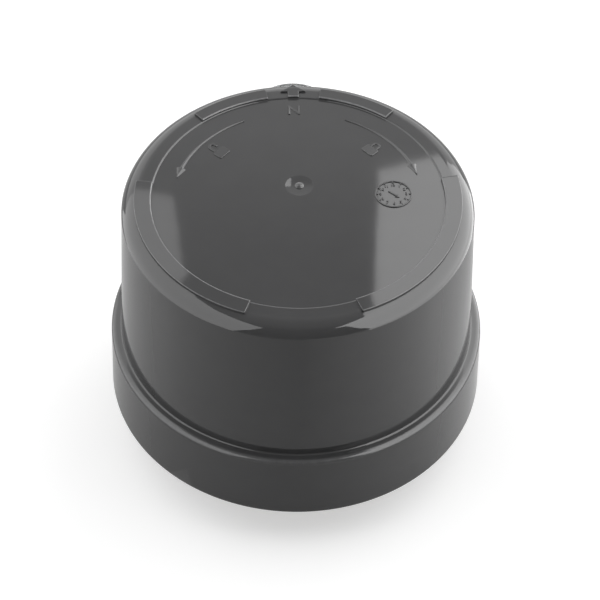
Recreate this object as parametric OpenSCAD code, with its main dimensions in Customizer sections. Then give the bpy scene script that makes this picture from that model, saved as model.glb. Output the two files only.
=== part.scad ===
// Twist-lock photocell switch for a street light.
// A moulded cover with a sensor window on its north side snaps over a base plate that carries
// three brass locking blades, a foam gasket and the circuit board.
// Millimetres. The origin is the centre of the gasket's sealing face. +Z is up, +Y is north.

/* [Cover] */
// Outside diameter at the lower edge of the skirt
skirt_d = 84; // [80:0.5:90]
// Height of the skirt up to its ledge
skirt_h = 16.9; // [15.5:0.1:19]
// Draft of the skirt, in degrees
skirt_draft = 1.9; // [0.5:0.1:3]
// Radius of the rounded shoulder on the skirt
shoulder_r = 1.1; // [0.5:0.05:1.4]
// Radius of the lower edge of the skirt
edge_r = 0.5; // [0.2:0.05:0.8]
// Width of the ledge from the skirt in to the foot of the wall
ledge_w = 2.25; // [1.8:0.05:3]
// Radius of the fillet between the ledge and the wall
foot_fillet_r = 0.4; // [0.2:0.05:0.6]
// Height of the cover from its lower edge to its top rim
cover_h = 54.9; // [50:0.1:60]
// Draft of the wall, in degrees
wall_draft = 2.6; // [1:0.1:3.5]
// Thickness of the moulded wall
wall_t = 2.1; // [1.6:0.1:2.4]
// Radius of the rounded top rim
rim_r = 4.3; // [3.5:0.1:5]
// Height of the rounded rim, from the crease on the wall to the top
rim_h = 2.8; // [2:0.1:3.2]
// Width of the raised ring round the top, from the crease in to the sunk disc
top_ring_w = 6.2; // [5:0.1:7]
// Depth of the sunk disc
disc_recess = 0.4; // [0.2:0.05:0.8]

/* [Raised marks on the top] */
// Width of the raised arc bars
bar_w = 3.2; // [2.6:0.1:3.6]
// Height of the raised arc bars
bar_h = 0.5; // [0.3:0.05:0.8]
// Angle from north to the start of each short bar
short_bar_from = 10.3; // [9:0.1:14]
// Angle from north to the end of each short bar
short_bar_to = 39.8; // [30:0.1:50]
// Angle from north to the start of each long bar
long_bar_from = 80.5; // [60:0.5:100]
// Angle from north to the end of each long bar
long_bar_to = 160; // [140:0.5:170]
// Width of the north arrow's shaft
arrow_shaft_w = 2.4; // [1.6:0.1:3.2]
// Width of the north arrow's head
arrow_head_w = 5.7; // [4.5:0.1:7]
// Length of the north arrow, from the edge of the disc to its tip
arrow_l = 3.9; // [3.4:0.1:4.4]
// Length of the north arrow's head
arrow_head_l = 2.2; // [1.5:0.1:2.6]
// Distance of the moulding gate from the centre, towards north
gate_y = 4; // [0:0.5:8]
// Diameter of the dimple round the gate
gate_dimple_d = 5.8; // [4:0.1:8]
// Depth of that dimple
gate_dimple_h = 0.45; // [0.2:0.05:0.8]
// Diameter of the gate's stub
gate_stub_d = 1.6; // [1:0.1:2.4]

/* [Sensor window] */
// Radius of the window's round front, seen from above
window_r = 9.3; // [8:0.1:11]
// How far the window stands out of the wall
window_reach = 2.6; // [1.5:0.1:3]
// Height of the window
window_h = 18; // [14:0.5:22]
// Distance from the top of the cover down to the window
window_drop = 4.1; // [3.8:0.1:7]
// Thickness of the clear window
lens_t = 1.5; // [1:0.1:2]
// Width of the bonding flange round the window
lens_flange_w = 2; // [1:0.1:3]
// Clearance between the window and the cover
lens_fit = 0.1; // [0.05:0.05:0.3]

/* [Base and gasket] */
// Height of the sealing face above the lower edge of the skirt
seal_drop = 5.5; // [4:0.1:7]
// Thickness of the gasket
gasket_t = 3.5; // [2.5:0.1:4]
// Distance from the inside of the skirt to the gasket
gasket_inset = 2.8; // [1.5:0.1:5]
// Diameter of the hub that the gasket fits round
hub_d = 44; // [42:0.5:50]
// Depth of the hub below the base plate's floor
hub_h = 1.4; // [0.8:0.1:2.2]
// Thickness of the base plate's floor
floor_t = 2.8; // [2:0.1:3.2]
// Thickness of the base plate's rim
base_rim_t = 2.6; // [2.2:0.1:3.2]
// Clearance between the base plate and the cover
base_fit = 0.3; // [0.2:0.05:0.4]
// Clearance between the gasket and the hub
gasket_fit = 0.3; // [0.1:0.05:0.5]
// How far each snap lug stands in from the skirt
snap_reach = 0.9; // [0.7:0.05:1.2]
// Height of each snap lug
snap_h = 2.2; // [1.6:0.1:3]
// Arc of each snap lug, in degrees
snap_arc = 22; // [14:1:30]
// Gap between a snap lug and the base plate
snap_fit = 0.1; // [0.05:0.05:0.2]

/* [Locking blades] */
// Diameter of the circle that the blades stand on
blade_circle_d = 33.2; // [31:0.1:35]
// Thickness of the blades
blade_t = 1.6; // [1.4:0.1:2]
// Width of the line and load blades round the circle
blade_w = 10; // [8:0.1:12]
// Width of the neutral blade round the circle
neutral_w = 13.5; // [12.2:0.1:16]
// Reach of the blades below the sealing face
blade_reach = 16.2; // [14:0.1:18]
// Width of the locking hook beside each blade
hook_w = 3.2; // [2.4:0.1:4]
// Height of the locking hook
hook_h = 4.6; // [3.5:0.1:6]
// Width of the bevels at the blade's tip
tip_bevel_w = 0.4; // [0.2:0.05:0.5]
// Height of the bevels at the blade's tip
tip_bevel_h = 1; // [0.5:0.1:1.5]
// Width of the blade's foot on the base plate
foot_w = 7; // [5.8:0.1:8]
// Distance from the blade to the rivet's head
rivet_inset = 1.2; // [0.8:0.1:1.6]
// Room left round the rivet's head and the wire on the foot
foot_margin = 0.4; // [0.3:0.05:0.6]
// Diameter of the rivet through each foot
rivet_d = 3; // [2.4:0.1:3.4]
// Diameter of the rivet's head
rivet_head_d = 5; // [4.4:0.1:5.6]
// Height of the rivet's head
rivet_head_h = 1.1; // [0.8:0.1:1.3]
// Clearance round the blades and rivets
blade_fit = 0.1; // [0.05:0.05:0.2]

/* [Circuit board] */
// Diameter of the board
board_d = 64; // [63:0.5:66]
// Thickness of the board
board_t = 1.6; // [1:0.1:2]
// Height of the posts that carry the board
post_h = 9.5; // [8:0.1:11]
// Diameter of the posts
post_d = 6; // [5.4:0.1:7]
// Distance from the edge of the board to the axis of each post
post_inset = 5; // [4:0.1:6]
// Diameter of the board screws
screw_d = 2.6; // [2:0.1:3]
// Length of the screws below the board
screw_l = 6; // [4:0.1:7]
// Diameter of the screw heads
screw_head_d = 5; // [4.6:0.1:5.4]
// Height of the screw heads
screw_head_h = 1.8; // [1.4:0.1:2.4]
// Clearance round the screws in the board
screw_fit = 0.3; // [0.2:0.05:0.4]

/* [Components] */
// Length of the relay
relay_l = 32; // [28:0.5:33]
// Width of the relay
relay_w = 27; // [22:0.5:28]
// Height of the relay
relay_h = 20; // [15:0.5:24]
// Diameter of the varistor disc
varistor_d = 14; // [12:0.5:15]
// Thickness of the varistor disc
varistor_t = 5; // [4:0.1:5.6]
// Width of the dropper capacitor
dropper_w = 9; // [6:0.5:10]
// Length of the dropper capacitor
dropper_l = 18; // [13:0.5:18.5]
// Height of the dropper capacitor
dropper_h = 15; // [11:0.5:18]
// Diameter of the smoothing capacitor
can_d = 10; // [8:0.1:10.5]
// Height of the smoothing capacitor
can_h = 16; // [12:0.5:20]
// Diameter of the photocell
cell_d = 7; // [5:0.1:7.5]
// Thickness of the photocell
cell_t = 2.2; // [1.6:0.1:2.6]
// Width of the holder that carries the photocell
holder_w = 10; // [9:0.1:12]
// Depth of that holder
holder_t = 5.5; // [4.6:0.1:7]
// Distance from the edge of the board to the holder's front
holder_inset = 2.8; // [1:0.1:4]
// Diameter of the rectifier diodes
diode_d = 2.7; // [2.2:0.1:3]
// Length of the rectifier diodes
diode_l = 5.2; // [4:0.1:6]
// Diameter of the zener diode
zener_d = 2; // [1.6:0.1:2.6]
// Length of the zener diode
zener_l = 4.2; // [3.4:0.1:5]
// Diameter of the dropper resistors
resistor_d = 3.6; // [2.4:0.1:4]
// Length of the dropper resistors
resistor_l = 8; // [6:0.1:8.4]
// Diameter of the drive transistor
transistor_d = 4.8; // [4.4:0.1:5.2]
// Height of the drive transistor's body
transistor_h = 4.6; // [4:0.1:5.2]
// Diameter of the component leads
lead_d = 0.8; // [0.6:0.05:0.9]
// Diameter of the insulated wires from the blades to the board
wire_d = 2.2; // [1.6:0.1:2.6]
// Room left between neighbouring components
part_gap = 1.2; // [0.8:0.1:1.6]

/* [Hidden] */
$fn = 96;

// Small overlap that makes joined shapes share material
bite = 0.2;
// Reach of a cut past the surface that it opens
past = 1;
// Depth of the raised marks inside the top
mark_root = 1;

// Heights
rim_z = -seal_drop;
ledge_z = rim_z + skirt_h;
top_z = rim_z + cover_h;
disc_z = top_z - disc_recess;
ceiling_z = disc_z - wall_t;
seat_z = ledge_z - wall_t;
floor_z = gasket_t + floor_t;
hub_z = gasket_t - hub_h;
board_z = floor_z + post_h;
board_top_z = board_z + board_t;
window_top_z = top_z - window_drop;
window_low_z = window_top_z - window_h;
window_mid_z = (window_top_z + window_low_z) / 2;

// Radii of the cover
skirt_r = skirt_d / 2;
function skirt_r_at(z) = skirt_r - (z - rim_z) * tan(skirt_draft);
wall_foot_r = skirt_r_at(ledge_z) - ledge_w;
function wall_r_at(z) = wall_foot_r - (z - ledge_z) * tan(wall_draft);
function inner_r_at(z) = wall_r_at(z) - wall_t / cos(wall_draft);
skirt_in_r = skirt_r_at(ledge_z) - wall_t;
disc_r = wall_r_at(top_z - rim_h) - top_ring_w;
inner_corner_r = 1;

// Centres of the rounds on the cover's section
function inside_skirt(z, r) = [skirt_r_at(z) - r / cos(skirt_draft), z];
edge_center = inside_skirt(rim_z + edge_r, edge_r);
shoulder_center = inside_skirt(ledge_z - shoulder_r, shoulder_r);
fillet_z = ledge_z + foot_fillet_r;
fillet_center = [wall_r_at(fillet_z) + foot_fillet_r / cos(wall_draft), fillet_z];
crease_turn = asin(1 - rim_h / rim_r);
rim_center = [wall_r_at(top_z - rim_h) - rim_r * cos(crease_turn), top_z - rim_r];
inner_corner_z = ceiling_z - inner_corner_r;
inner_corner = [inner_r_at(inner_corner_z) - inner_corner_r / cos(wall_draft), inner_corner_z];

// Base plate, gasket and blades
base_r = skirt_in_r - base_fit;
gasket_r = skirt_in_r - gasket_inset;
hub_r = hub_d / 2;
blade_r = blade_circle_d / 2;
blade_in_r = blade_r - blade_t / 2;
blade_out_r = blade_r + blade_t / 2;
rivet_r_at = blade_in_r - rivet_inset - rivet_head_d / 2;
rivet_sink = rivet_head_h;
wire_r_at = rivet_r_at - rivet_head_d / 2 - foot_margin - wire_d / 2;
foot_in_r = wire_r_at - wire_d / 2 - foot_margin;
foot_top_z = floor_z + blade_t;
// Compass turn of each blade, counted anticlockwise from +X
neutral_turn = -90;
line_turn = 30;
load_turn = 150;
blade_turns = [neutral_turn, line_turn, load_turn];
blade_widths = [neutral_w, blade_w, blade_w];
function arc_of(length) = length / blade_r * 180 / PI;
snap_turns = [45, 135, 225, 315];
post_turns = [15, 165, 270];
post_circle_r = board_d / 2 - post_inset;
screw_pilot_fit = 0.1;

// Places of the components on the board, in rows beside and behind the relay
lead_pitch = 2.54;
axial_pitch = 10;
stand_off = 1.2;
relay_at = [0, relay_w / 2 + part_gap + screw_head_d / 2 - post_circle_r];
relay_back_y = relay_at[1] + relay_w / 2 + part_gap;
relay_side_x = relay_l / 2 + part_gap + lead_d / 2 + axial_pitch / 2;
can_at = [-can_d / 2 - part_gap, relay_back_y + can_d / 2];
varistor_at = [can_at[0] - can_d / 2 - 2 * part_gap - varistor_t / 2, relay_back_y + varistor_d / 2];
transistor_at = [transistor_d / 2 + part_gap, relay_back_y + transistor_d];
dropper_at = [transistor_at[0] + transistor_d / 2 + 2 * part_gap + dropper_w / 2,
              relay_back_y + dropper_l / 2];
side_row_y = post_circle_r * sin(post_turns[0]) - screw_head_d / 2 - part_gap;
diode_row = [for (i = [0 : 3]) [-relay_side_x, side_row_y - diode_d / 2 - i * (diode_d + part_gap)]];
zener_at = [relay_side_x, side_row_y - zener_d / 2];
resistor_top_y = side_row_y - zener_d - part_gap;
resistor_row = [for (i = [0, 1])
  [relay_side_x, resistor_top_y - resistor_d / 2 - i * (resistor_d + part_gap)]];
holder_front_y = board_d / 2 - holder_inset;
holder_back_y = holder_front_y - holder_t;
cell_z = window_mid_z;
cell_rim = 1.8;
holder_top_z = cell_z + cell_d / 2 + cell_rim;
cell_pocket_h = cell_t + 1.2;
cell_fit = 0.1;
wire_sway = [3.5, 2.5];

function unit(a) = [cos(a), sin(a)];

// What a round of radius r, centred on c, takes off a corner between the normals a and b
module corner_cut(c, r, a, b) {
  spread = 1.3 * r;
  difference() {
    polygon([c, c + spread * unit(a), c + spread / cos((b - a) / 2) * unit((a + b) / 2),
             c + spread * unit(b)]);
    translate(c) circle(r);
  }
}

// What a fillet of radius r, centred on c, adds in a hollow corner between the normals a and b
module corner_fill(c, r, a, b) {
  deep = r + bite;
  difference() {
    polygon([c, c + deep * unit(a), c + deep / cos((b - a) / 2) * unit((a + b) / 2), c + deep * unit(b)]);
    translate(c) circle(r);
  }
}

// Sector of a ring with a square section
module ring_sector(r_in, r_out, z_low, z_high, from, to) {
  rotate([0, 0, from]) rotate_extrude(angle = to - from)
    translate([r_in, z_low]) square([r_out - r_in, z_high - z_low]);
}

// Outside of the cover, as a half section
module cover_outline() {
  difference() {
    union() {
      polygon([[0, rim_z], [skirt_r, rim_z], [skirt_r_at(ledge_z), ledge_z], [0, ledge_z]]);
      polygon([[0, ledge_z - bite], [wall_r_at(ledge_z - bite), ledge_z - bite],
               [wall_r_at(top_z), top_z], [0, top_z]]);
      corner_fill(fillet_center, foot_fillet_r, 180 + wall_draft, 270);
    }
    corner_cut(edge_center, edge_r, -90, skirt_draft);
    corner_cut(shoulder_center, shoulder_r, skirt_draft, 90);
    corner_cut(rim_center, rim_r, crease_turn, 90);
  }
}

// Inside of the cover, as a half section
module cover_hollow() {
  difference() {
    union() {
      translate([0, rim_z - past]) square([skirt_in_r, seat_z - rim_z + past]);
      polygon([[0, seat_z - bite], [inner_r_at(seat_z - bite), seat_z - bite],
               [inner_r_at(ceiling_z), ceiling_z], [0, ceiling_z]]);
    }
    corner_cut(inner_corner, inner_corner_r, wall_draft, 90);
  }
}

// One pair of raised bars, the same on both sides of north
module bar_pair(from, to) {
  for (side = [0, 1]) mirror([side, 0, 0])
    ring_sector(disc_r - bite, disc_r + bar_w, top_z - mark_root, top_z + bar_h, 90 + from, 90 + to);
}

// Raised arrow that shows which way the window has to face
module north_arrow() {
  tip_y = disc_r + arrow_l;
  neck_y = tip_y - arrow_head_l;
  shaft = arrow_shaft_w / 2;
  head = arrow_head_w / 2;
  translate([0, 0, top_z - mark_root]) linear_extrude(bar_h + mark_root)
    polygon([[-shaft, disc_r - bite], [shaft, disc_r - bite], [shaft, neck_y], [head, neck_y],
             [0, tip_y], [-head, neck_y], [-shaft, neck_y]]);
}

module gate_dimple() {
  ball_r = (pow(gate_dimple_d / 2, 2) + pow(gate_dimple_h, 2)) / (2 * gate_dimple_h);
  translate([0, gate_y, disc_z - gate_dimple_h + ball_r]) sphere(ball_r);
}

module gate_stub() {
  translate([0, gate_y, disc_z - gate_dimple_h - bite])
    cylinder(d = gate_stub_d, h = gate_dimple_h + bite + 0.1);
}

// Wedges inside the skirt that the base plate snaps over
module snap_lugs() {
  lug_top = gasket_t - snap_fit;
  for (turn = snap_turns) rotate([0, 0, turn - snap_arc / 2]) rotate_extrude(angle = snap_arc)
    polygon([[skirt_in_r + bite, lug_top], [skirt_in_r - snap_reach, lug_top],
             [skirt_in_r - snap_reach, lug_top - snap_h / 4], [skirt_in_r + bite, lug_top - snap_h]]);
}

// Round front of the window, grown by a clearance
module window_bay(grow) {
  bay_y = wall_r_at(window_mid_z) + window_reach - window_r;
  translate([0, bay_y, window_low_z - grow]) cylinder(r = window_r + grow, h = window_h + 2 * grow);
}

module cover() {
  color("#4b4b4c") difference() {
    union() {
      difference() {
        union() {
          rotate_extrude() difference() {
            cover_outline();
            cover_hollow();
          }
          bar_pair(short_bar_from, short_bar_to);
          bar_pair(long_bar_from, long_bar_to);
          north_arrow();
        }
        translate([0, 0, disc_z]) cylinder(r = disc_r, h = disc_recess + bar_h + past);
        gate_dimple();
      }
      gate_stub();
      snap_lugs();
    }
    window_bay(lens_fit);
  }
}

// Clear window: a round front with a top and a floor, and a flange that is bonded inside the wall
module window_lens() {
  flange_half = asin((window_r + lens_flange_w) / inner_r_at(window_mid_z));
  flange_low_z = window_low_z - lens_flange_w;
  back_t = lens_fit + lens_t;
  bay_y = wall_r_at(window_mid_z) + window_reach - window_r;
  color("#b9c4c8", 0.5) difference() {
    union() {
      difference() {
        window_bay(0);
        rotate_extrude() polygon([
          [0, window_low_z - past],
          [inner_r_at(window_low_z - past) - back_t, window_low_z - past],
          [inner_r_at(window_top_z + past) - back_t, window_top_z + past],
          [0, window_top_z + past]]);
      }
      rotate([0, 0, 90 - flange_half]) rotate_extrude(angle = 2 * flange_half) polygon([
        [inner_r_at(flange_low_z) - back_t, flange_low_z],
        [inner_r_at(flange_low_z) - lens_fit, flange_low_z],
        [inner_r_at(window_top_z) - lens_fit, window_top_z],
        [inner_r_at(window_top_z) - back_t, window_top_z]]);
    }
    translate([0, bay_y, window_low_z + lens_t])
      cylinder(r = window_r - lens_t, h = window_h - 2 * lens_t);
  }
}

// Place of something at radius r, turned round the axis
module at_turn(turn, r) {
  rotate([0, 0, turn]) translate([r, 0, 0]) children();
}

module base_plate() {
  color("#2c2c2e") difference() {
    union() {
      translate([0, 0, gasket_t]) cylinder(r = base_r, h = floor_t);
      translate([0, 0, hub_z]) cylinder(r = hub_r, h = hub_h + bite);
      difference() {
        translate([0, 0, floor_z - bite]) cylinder(r = base_r, h = seat_z - floor_z + bite);
        translate([0, 0, floor_z - past])
          cylinder(r = base_r - base_rim_t, h = seat_z - floor_z + 2 * past);
      }
      for (turn = post_turns) at_turn(turn, post_circle_r)
        translate([0, 0, floor_z - bite]) cylinder(d = post_d, h = post_h + bite);
    }
    for (turn = post_turns) at_turn(turn, post_circle_r)
      translate([0, 0, board_z - screw_l - past])
        cylinder(d = screw_d + screw_pilot_fit, h = screw_l + 2 * past);
    for (i = [0 : 2]) {
      half = arc_of(blade_widths[i] / 2 + blade_fit);
      ring_sector(blade_in_r - blade_fit, blade_out_r + blade_fit, hub_z - past, floor_z + past,
                  blade_turns[i] - half, blade_turns[i] + half);
      at_turn(blade_turns[i], rivet_r_at) translate([0, 0, hub_z - past]) {
        cylinder(d = rivet_d + 2 * blade_fit, h = floor_z - hub_z + 2 * past);
        cylinder(d = rivet_head_d + 4 * blade_fit, h = rivet_sink + past);
      }
    }
  }
}

module base_gasket() {
  color("#3a3d3c") difference() {
    cylinder(r = gasket_r, h = gasket_t);
    translate([0, 0, -past]) cylinder(r = hub_r + gasket_fit, h = gasket_t + 2 * past);
  }
}

// Section of a blade, with bevels that lead its tip into the slot
module blade_section() {
  tip_z = -blade_reach;
  polygon([[blade_in_r + tip_bevel_w, tip_z], [blade_out_r - tip_bevel_w, tip_z],
           [blade_out_r, tip_z + tip_bevel_h], [blade_out_r, foot_top_z],
           [blade_in_r, foot_top_z], [blade_in_r, tip_z + tip_bevel_h]]);
}

// Curved blade with a hook beside its tip, and a foot that is riveted to the base plate
module blade(width, turn) {
  half = arc_of(width / 2);
  hook = arc_of(hook_w);
  color("#c9a24b") difference() {
    union() {
      rotate([0, 0, turn - half - hook]) rotate_extrude(angle = 2 * half + hook) blade_section();
      rotate([0, 0, turn]) translate([foot_in_r, -foot_w / 2, floor_z])
        cube([blade_r - foot_in_r, foot_w, blade_t]);
    }
    ring_sector(blade_in_r - past, blade_out_r + past, hook_h - blade_reach, foot_top_z + past,
                turn - half - 2 * hook, turn - half);
    at_turn(turn, rivet_r_at) translate([0, 0, floor_z - past])
      cylinder(d = rivet_d + 2 * blade_fit, h = blade_t + 2 * past);
  }
}

module neutral_blade() { blade(neutral_w, neutral_turn); }
module line_blade() { blade(blade_w, line_turn); }
module load_blade() { blade(blade_w, load_turn); }

// Low domed head, flat side at the origin and crown towards +Z
module dome_head(d, h) {
  ball_r = (d * d / 4 + h * h) / (2 * h);
  rotate_extrude() intersection() {
    translate([0, h - ball_r]) circle(ball_r);
    square([d, h]);
  }
}

module blade_rivets() {
  color("#bfa05a") for (turn = blade_turns) at_turn(turn, rivet_r_at) {
    translate([0, 0, hub_z + rivet_sink - bite])
      cylinder(d = rivet_d, h = foot_top_z - hub_z - rivet_sink + 2 * bite);
    translate([0, 0, foot_top_z]) dome_head(rivet_head_d, rivet_head_h);
    translate([0, 0, hub_z + rivet_sink]) mirror([0, 0, 1]) dome_head(rivet_head_d, rivet_head_h);
  }
}

module circuit_board() {
  color("#2f6b3c") difference() {
    translate([0, 0, board_z]) cylinder(d = board_d, h = board_t);
    for (turn = post_turns) at_turn(turn, post_circle_r)
      translate([0, 0, board_z - past]) cylinder(d = screw_d + 2 * screw_fit, h = board_t + 2 * past);
  }
}

module board_screws() {
  cross_l = 0.56 * screw_head_d;
  cross_w = 0.12 * screw_head_d;
  cross_deep = 0.44 * screw_head_h;
  color("#b9bbbd") for (turn = post_turns) at_turn(turn, post_circle_r) {
    translate([0, 0, board_z - screw_l]) cylinder(d = screw_d, h = screw_l + board_t + bite);
    difference() {
      translate([0, 0, board_top_z]) dome_head(screw_head_d, screw_head_h);
      for (cross = [0, 90]) rotate([0, 0, cross])
        translate([-cross_l / 2, -cross_w / 2, board_top_z + screw_head_h - cross_deep])
          cube([cross_l, cross_w, cross_deep + past]);
    }
  }
}

// Component leads that stand on the board, at the given places
module leads(points, top_z) {
  for (p = points) translate([p[0], p[1], board_top_z]) cylinder(d = lead_d, h = top_z - board_top_z);
}

// Axial part lying along X on its two bent leads
module axial_part(at, d, l) {
  axis_z = board_top_z + stand_off + d / 2;
  translate([at[0] - l / 2, at[1], axis_z]) rotate([0, 90, 0]) cylinder(d = d, h = l);
  translate([at[0] - axial_pitch / 2, at[1], axis_z]) rotate([0, 90, 0])
    cylinder(d = lead_d, h = axial_pitch);
  for (side = [-1, 1]) {
    x = at[0] + side * axial_pitch / 2;
    translate([x, at[1], board_top_z]) cylinder(d = lead_d, h = axis_z - board_top_z);
    translate([x, at[1], axis_z]) sphere(d = lead_d);
  }
}

module relay() {
  foot_h = 0.6;
  foot_d = 2.4;
  color("#26282b") translate([relay_at[0], relay_at[1], board_top_z]) {
    translate([-relay_l / 2, -relay_w / 2, foot_h]) cube([relay_l, relay_w, relay_h - foot_h]);
    for (x = [-1, 1], y = [-1, 1])
      translate([x * (relay_l / 2 - foot_d), y * (relay_w / 2 - foot_d), 0])
        cylinder(d = foot_d, h = foot_h + bite);
  }
}

module varistor() {
  axis_z = board_top_z + stand_off + 1 + varistor_d / 2;
  color("#27508f") {
    translate([varistor_at[0] - varistor_t / 2, varistor_at[1], axis_z]) rotate([0, 90, 0])
      cylinder(d = varistor_d, h = varistor_t);
    leads([for (side = [-1, 1]) [varistor_at[0], varistor_at[1] + side * 1.5 * lead_pitch]], axis_z);
  }
}

module dropper_capacitor() {
  color("#d8b23a") {
    translate([dropper_at[0] - dropper_w / 2, dropper_at[1] - dropper_l / 2, board_top_z + stand_off / 2])
      cube([dropper_w, dropper_l, dropper_h - stand_off / 2]);
    leads([for (side = [-1, 1]) dropper_at + [0, side * (dropper_l - lead_pitch) / 2]],
          board_top_z + stand_off);
  }
}

module smoothing_capacitor() {
  base_z = board_top_z + stand_off / 2;
  neck_z = 2;
  neck = 0.4;
  color("#2b3350") {
    difference() {
      translate([can_at[0], can_at[1], base_z]) cylinder(d = can_d, h = can_h);
      translate([can_at[0], can_at[1], base_z + neck_z]) rotate_extrude()
        translate([can_d / 2 + neck / 2, 0]) circle(neck);
      for (cross = [0, 90]) translate([can_at[0], can_at[1], base_z + can_h - 0.3]) rotate([0, 0, cross])
        translate([-can_d / 3, -0.15, 0]) cube([can_d * 2 / 3, 0.3, past]);
    }
    leads([for (side = [-1, 1]) can_at + [side * lead_pitch, 0]], base_z + bite);
  }
}

// Post on the board with a pocket that faces the window
module sensor_holder() {
  color("#1f1f21") difference() {
    translate([-holder_w / 2, holder_back_y, board_top_z])
      cube([holder_w, holder_t, holder_top_z - board_top_z]);
    translate([0, holder_front_y + past, cell_z]) rotate([90, 0, 0])
      cylinder(d = cell_d + 2 * cell_fit, h = cell_pocket_h + past);
    for (side = [-1, 1]) translate([side * lead_pitch / 2, holder_back_y - past, cell_z])
      rotate([-90, 0, 0]) cylinder(d = lead_d + 2 * cell_fit, h = holder_t + past);
  }
}

// Light-sensitive disc at the back of the holder's pocket, with leads down to the board
module photocell() {
  seat_y = holder_front_y - cell_pocket_h;
  lead_y = holder_back_y - stand_off;
  color("#b8813f") {
    translate([0, seat_y + cell_t, cell_z]) rotate([90, 0, 0]) cylinder(d = cell_d, h = cell_t);
    for (side = [-1, 1]) {
      x = side * lead_pitch / 2;
      translate([x, lead_y, cell_z]) rotate([-90, 0, 0]) cylinder(d = lead_d, h = seat_y - lead_y + bite);
      translate([x, lead_y, cell_z]) sphere(d = lead_d);
      translate([x, lead_y, board_top_z]) cylinder(d = lead_d, h = cell_z - board_top_z);
    }
  }
}

module rectifier_diodes() {
  color("#232325") for (at = diode_row) axial_part(at, diode_d, diode_l);
}

module zener_diode() {
  color("#a8502c") axial_part(zener_at, zener_d, zener_l);
}

module dropper_resistors() {
  color("#7f8fa0") for (at = resistor_row) axial_part(at, resistor_d, resistor_l);
}

module drive_transistor() {
  body_z = board_top_z + 2 * stand_off;
  color("#1c1c1e") {
    translate([transistor_at[0], transistor_at[1], body_z]) intersection() {
      cylinder(d = transistor_d, h = transistor_h);
      translate([-transistor_d, -transistor_d / 3, 0])
        cube([2 * transistor_d, transistor_d, transistor_h]);
    }
    leads([for (pin = [-1 : 1]) transistor_at + [pin * lead_pitch / 2, 0]], body_z + bite);
  }
}

// Insulated wire from a blade's foot up to the board, as one swept tube with a gentle sway
wire_sides = 8;
wire_rings = 12;
function ease(t) = t * t * (3 - 2 * t);
function wire_point(turn, t) =
  let (r = wire_r_at - wire_sway[0] * ease(t), side = wire_sway[1] * ease(t))
  [r * cos(turn) - side * sin(turn), r * sin(turn) + side * cos(turn),
   foot_top_z + (board_z - foot_top_z) * t];

module wire(turn) {
  points = [for (i = [0 : wire_rings]) for (k = [0 : wire_sides - 1])
    let (a = 360 * k / wire_sides)
    wire_point(turn, i / wire_rings) + wire_d / 2 * [cos(a), sin(a), 0]];
  sides = [for (i = [0 : wire_rings - 1]) for (k = [0 : wire_sides - 1])
    let (a = i * wire_sides + k, b = i * wire_sides + (k + 1) % wire_sides)
    [a, a + wire_sides, b + wire_sides, b]];
  first = [for (k = [0 : wire_sides - 1]) k];
  last = [for (k = [wire_sides - 1 : -1 : 0]) wire_rings * wire_sides + k];
  polyhedron(points, concat([first, last], sides));
}

module neutral_wire() { color("#d9d8d2") wire(neutral_turn); }
module line_wire() { color("#222224") wire(line_turn); }
module load_wire() { color("#a5302a") wire(load_turn); }

cover();
window_lens();
base_plate();
base_gasket();
neutral_blade();
line_blade();
load_blade();
blade_rivets();
circuit_board();
board_screws();
relay();
varistor();
dropper_capacitor();
smoothing_capacitor();
sensor_holder();
photocell();
rectifier_diodes();
zener_diode();
dropper_resistors();
drive_transistor();
neutral_wire();
line_wire();
load_wire();
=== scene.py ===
# %% [markdown]
# # A photocell switch for a street light
# The part is a dark grey plastic cap that twists into a socket on top of a lamp. A light sensor looks out
# of a window on its north side. The solids come from the CAD model; this script gives them the rounds,
# raised signs and finishes that the eye expects, in the same frame and in metres.

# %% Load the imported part
import math
import bmesh
import bpy
from mathutils import Matrix, Vector


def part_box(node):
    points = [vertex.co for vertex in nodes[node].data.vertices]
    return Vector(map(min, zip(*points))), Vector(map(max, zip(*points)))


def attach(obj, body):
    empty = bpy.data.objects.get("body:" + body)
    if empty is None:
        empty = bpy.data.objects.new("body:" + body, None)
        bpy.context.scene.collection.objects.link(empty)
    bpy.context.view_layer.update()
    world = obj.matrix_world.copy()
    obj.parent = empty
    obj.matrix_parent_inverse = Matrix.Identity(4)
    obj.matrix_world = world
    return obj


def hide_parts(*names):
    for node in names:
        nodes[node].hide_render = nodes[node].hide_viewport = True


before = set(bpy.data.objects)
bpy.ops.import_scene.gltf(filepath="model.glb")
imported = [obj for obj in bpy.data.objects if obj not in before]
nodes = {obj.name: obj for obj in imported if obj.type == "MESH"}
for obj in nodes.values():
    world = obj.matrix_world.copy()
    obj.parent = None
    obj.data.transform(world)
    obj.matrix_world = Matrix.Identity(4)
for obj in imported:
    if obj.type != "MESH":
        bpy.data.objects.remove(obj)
scene = bpy.context.scene
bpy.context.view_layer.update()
MM = 0.001

# %% [markdown]
# ## Camera
# The photograph looks down on the switch from about 48 degrees, a little from the left of its south side.
# The lens is long, so the skirt and the top differ little in scale. The camera's axes are written straight
# into its matrix, because the small roll is then one line and needs no constraint.

# %% Camera


def add_object(name, data):
    """A new object in the scene."""
    piece = bpy.data.objects.new(name, data)
    scene.collection.objects.link(piece)
    return piece


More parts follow.
